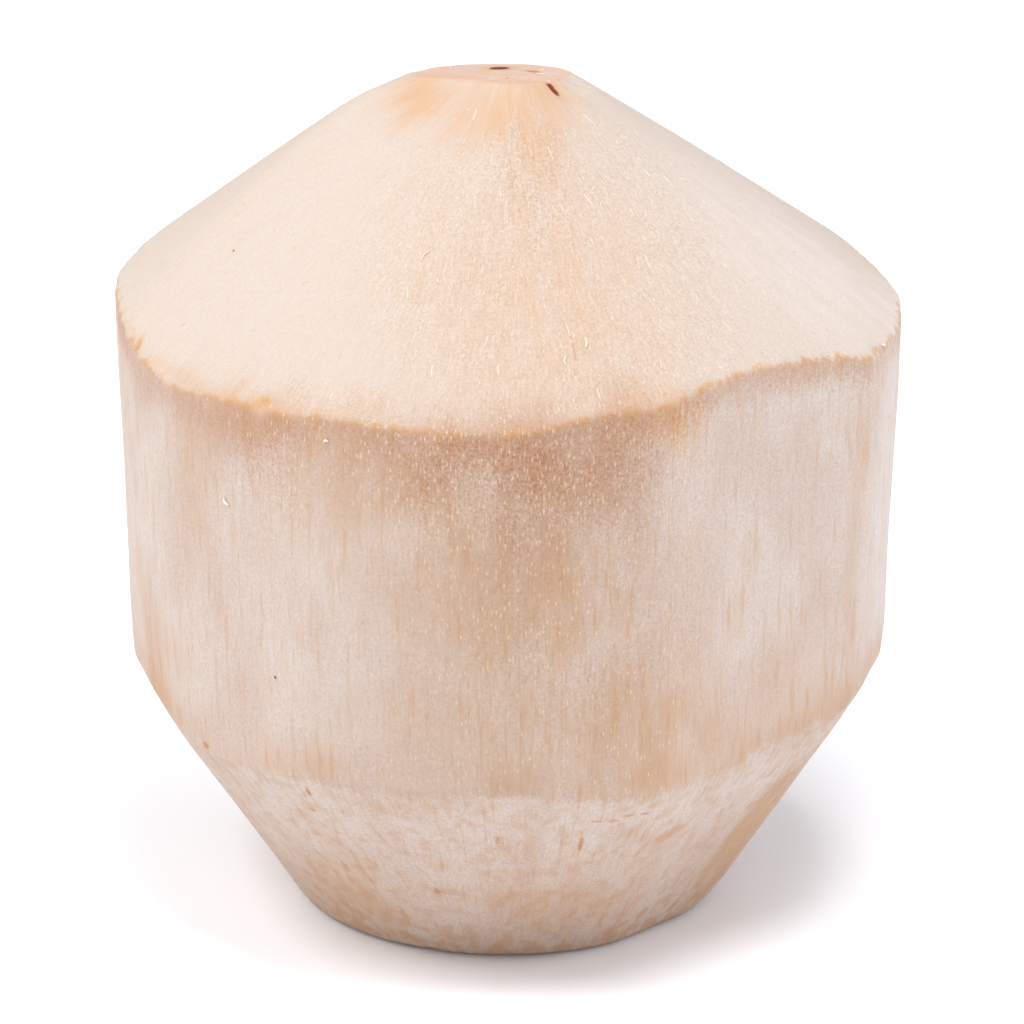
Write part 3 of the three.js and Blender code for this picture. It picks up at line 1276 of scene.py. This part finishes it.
@dataclass(frozen=True)
class SoftLight:
    """A large soft light that faces the husk.

    Attributes:
        name: Where it stands.
        azimuth: Its direction from the husk, 0 being in front and 90 to the right, in degrees.
        elevation: How high it stands, in degrees.
        distance: How far it is.
        size: Its width and height.
        power: Its power in watts.
        colour: Its colour.
        aim: The height of the point that it faces.
    """

    name: str
    azimuth: float
    elevation: float
    distance: float
    size: float
    power: float
    colour: Colour = (1, 1, 1)
    aim: float = 60 * MM

    def build(self) -> None:
        """Makes the light."""
        data = bpy.data.lights.new(self.name, "AREA")
        data.size = self.size
        data.energy = self.power
        data.color = self.colour
        outward = toward(math.radians(self.azimuth), math.radians(self.elevation))
        light = show(self.name, data)
        light.location = Vector((0, 0, self.aim)) + outward * self.distance
        light.rotation_euler = outward.to_track_quat("Z", "Y").to_euler()


@dataclass
class Studio:
    """The plain floor, the pale surroundings and the soft lights.

    Attributes:
        view: Where the picture is taken from.
        floor_size: The floor's width.
        floor_colour: The floor's colour.
        surroundings: How bright the surroundings are.
        lights: The lights.
    """

    view: Viewpoint
    floor_size: float = 12
    floor_colour: Colour = (0.93, 0.94, 0.97)
    surroundings: float = 0.55
    lights: tuple[SoftLight, ...] = (
        SoftLight("key", -66, 54, 1.2, 0.4, 7.5),
        SoftLight("overhead", 25, 70, 1.2, 0.4, 7.9),
        SoftLight("left", -95, 15, 1.2, 0.9, 4),
        SoftLight("right", 95, 15, 1.2, 0.9, 7.1, (0.94, 0.98, 1.08)),
        SoftLight("front", 5, 12, 1.2, 0.9, 1.8),
    )

    def build(self) -> None:
        """Makes the studio and its camera."""
        scene = bpy.context.scene
        scene.view_settings.view_transform = "Standard"
        scene.view_settings.look = "None"
        world = bpy.data.worlds.new("surroundings")
        world.use_nodes = True
        background = world.node_tree.nodes["Background"]
        background.inputs["Color"].default_value = (1, 1, 1, 1)
        background.inputs["Strength"].default_value = self.surroundings
        scene.world = world
        for light in self.lights:
            light.build()
        self._floor()
        self.view.build()

    def _floor(self) -> None:
        """Makes the floor, large enough to fill the picture."""
        half = self.floor_size / 2
        corners = [(-half, -half, 0), (half, -half, 0), (half, half, 0), (-half, half, 0)]
        mesh = bpy.data.meshes.new("floor")
        mesh.from_pydata(corners, [], [(0, 1, 2, 3)])
        material, sheet = new_material("floor")
        close_material(sheet, {"Base Color": self.floor_colour, "Roughness": 0.9, "Specular IOR Level": 0.2})
        mesh.materials.append(material)
        floor = show("floor", mesh)


STREWN = (
    Scatter("fibre_ends", "ends", 0.5, (0.35, 1.2), (0.03, 0.058), 14, 3),
    Scatter("rim_fray", "rim_fray", 1.1, (0.4, 1.3), (0.06, 0.12), 60, 8),
    Scatter("base_fray", "base_fray", 0.3, (0.5, 1.5), (0.06, 0.12), 60, 11),
)
CROWN_STREWN = (
    Scatter("long_fibres", "long_ends", 0.022, (1.4, 3.4), (0.06, 0.1), 22, 5),
    Scatter("flecks", "flecks", 0.4, (0.5, 1.1), (0.04, 0.07), 35, 6),
)


def main() -> None:
    """Builds the coconut and its studio."""
    logging.basicConfig(level=logging.INFO, format="%(name)s: %(message)s")
    skin = HuskSkin(CadForm())
    husk = skin.build(MARKS, SPOTS)
    husk.data.materials.append(HuskFinish().build())
    pieces = [husk]
    sliver = Sliver().build("sliver")
    straw = FibreFinish().build()
    pale = FibreFinish("husk_pale_fibre", from_screen(222, 211, 200), from_screen(203, 187, 168)).build()
    pieces += [scatter.build(husk, sliver, straw) for scatter in STREWN]
    pieces += [scatter.build(husk, sliver, pale) for scatter in CROWN_STREWN]
    pieces.append(build_curls(skin, CURLS, pale))
    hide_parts("husk")
    for piece in pieces:
        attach(piece, "root")
        log.info("%s: %d faces", piece.name, len(piece.data.polygons))
    Studio(Viewpoint()).build()


if __name__ == "__main__":
    main()
